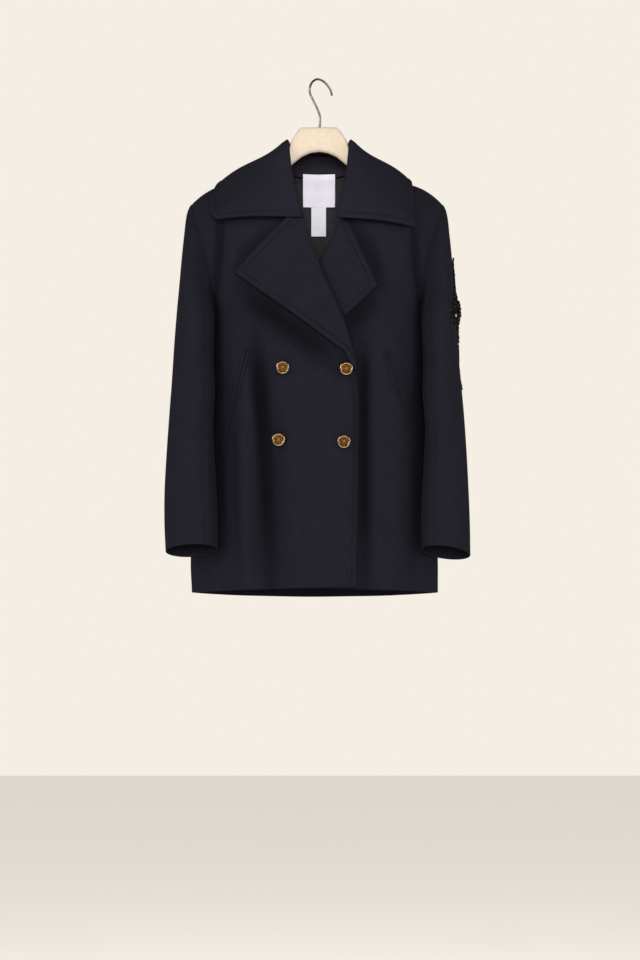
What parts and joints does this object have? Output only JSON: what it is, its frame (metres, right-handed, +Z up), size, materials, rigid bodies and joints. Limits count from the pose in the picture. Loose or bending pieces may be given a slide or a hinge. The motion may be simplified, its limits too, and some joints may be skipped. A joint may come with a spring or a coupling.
{
  "type": "pea coat on a hanger",
  "caption": "Double-breasted wool pea coat, closed, hanging on a shaped hanger with a wire hook.",
  "frame": {"origin": "inside of the crown of the hanger's hook, where the coat hangs", "axes": "+Z up, +X to the wearer's left, -Y to the front of the coat"},
  "size_m": [0.5273, 0.1917, 0.9177],
  "materials": {
    "wool": "dense blue-black wool melton, matt with a slight nap",
    "lining": "charcoal twill lining with a soft sheen",
    "label": "white woven tape, blank",
    "button_rim": "polished gold-coloured metal",
    "button_centre": "glossy amber-brown resin",
    "beads": "glossy black glass-like beads",
    "hanger": "smooth matt cream paint",
    "hook": "bright steel wire"
  },
  "bodies": {
    "root": {"front_right": "wool", "front_left": "wool", "back": "wool", "lining_back": "lining", "lapel_right": "wool", "lapel_left": "wool", "collar_leaf": "wool", "collar_stand": "wool", "sleeve_right_top": "wool", "sleeve_right_under": "wool", "sleeve_left_top": "wool", "sleeve_left_under": "wool", "pocket_right_aft": "wool", "pocket_right_fore": "wool", "pocket_left_fore": "wool", "pocket_left_aft": "wool", "label_small": "label", "label_main": "label", "bead_patch": "beads", "hanger_body": "hanger", "hanger_hook": "hook", "button_upper_right_rim": "button_rim", "button_upper_right_centre": "button_centre", "button_upper_left_rim": "button_rim", "button_upper_left_centre": "button_centre", "button_lower_right_rim": "button_rim", "button_lower_right_centre": "button_centre", "button_lower_left_rim": "button_rim", "button_lower_left_centre": "button_centre"}
  },
  "joints": []
}
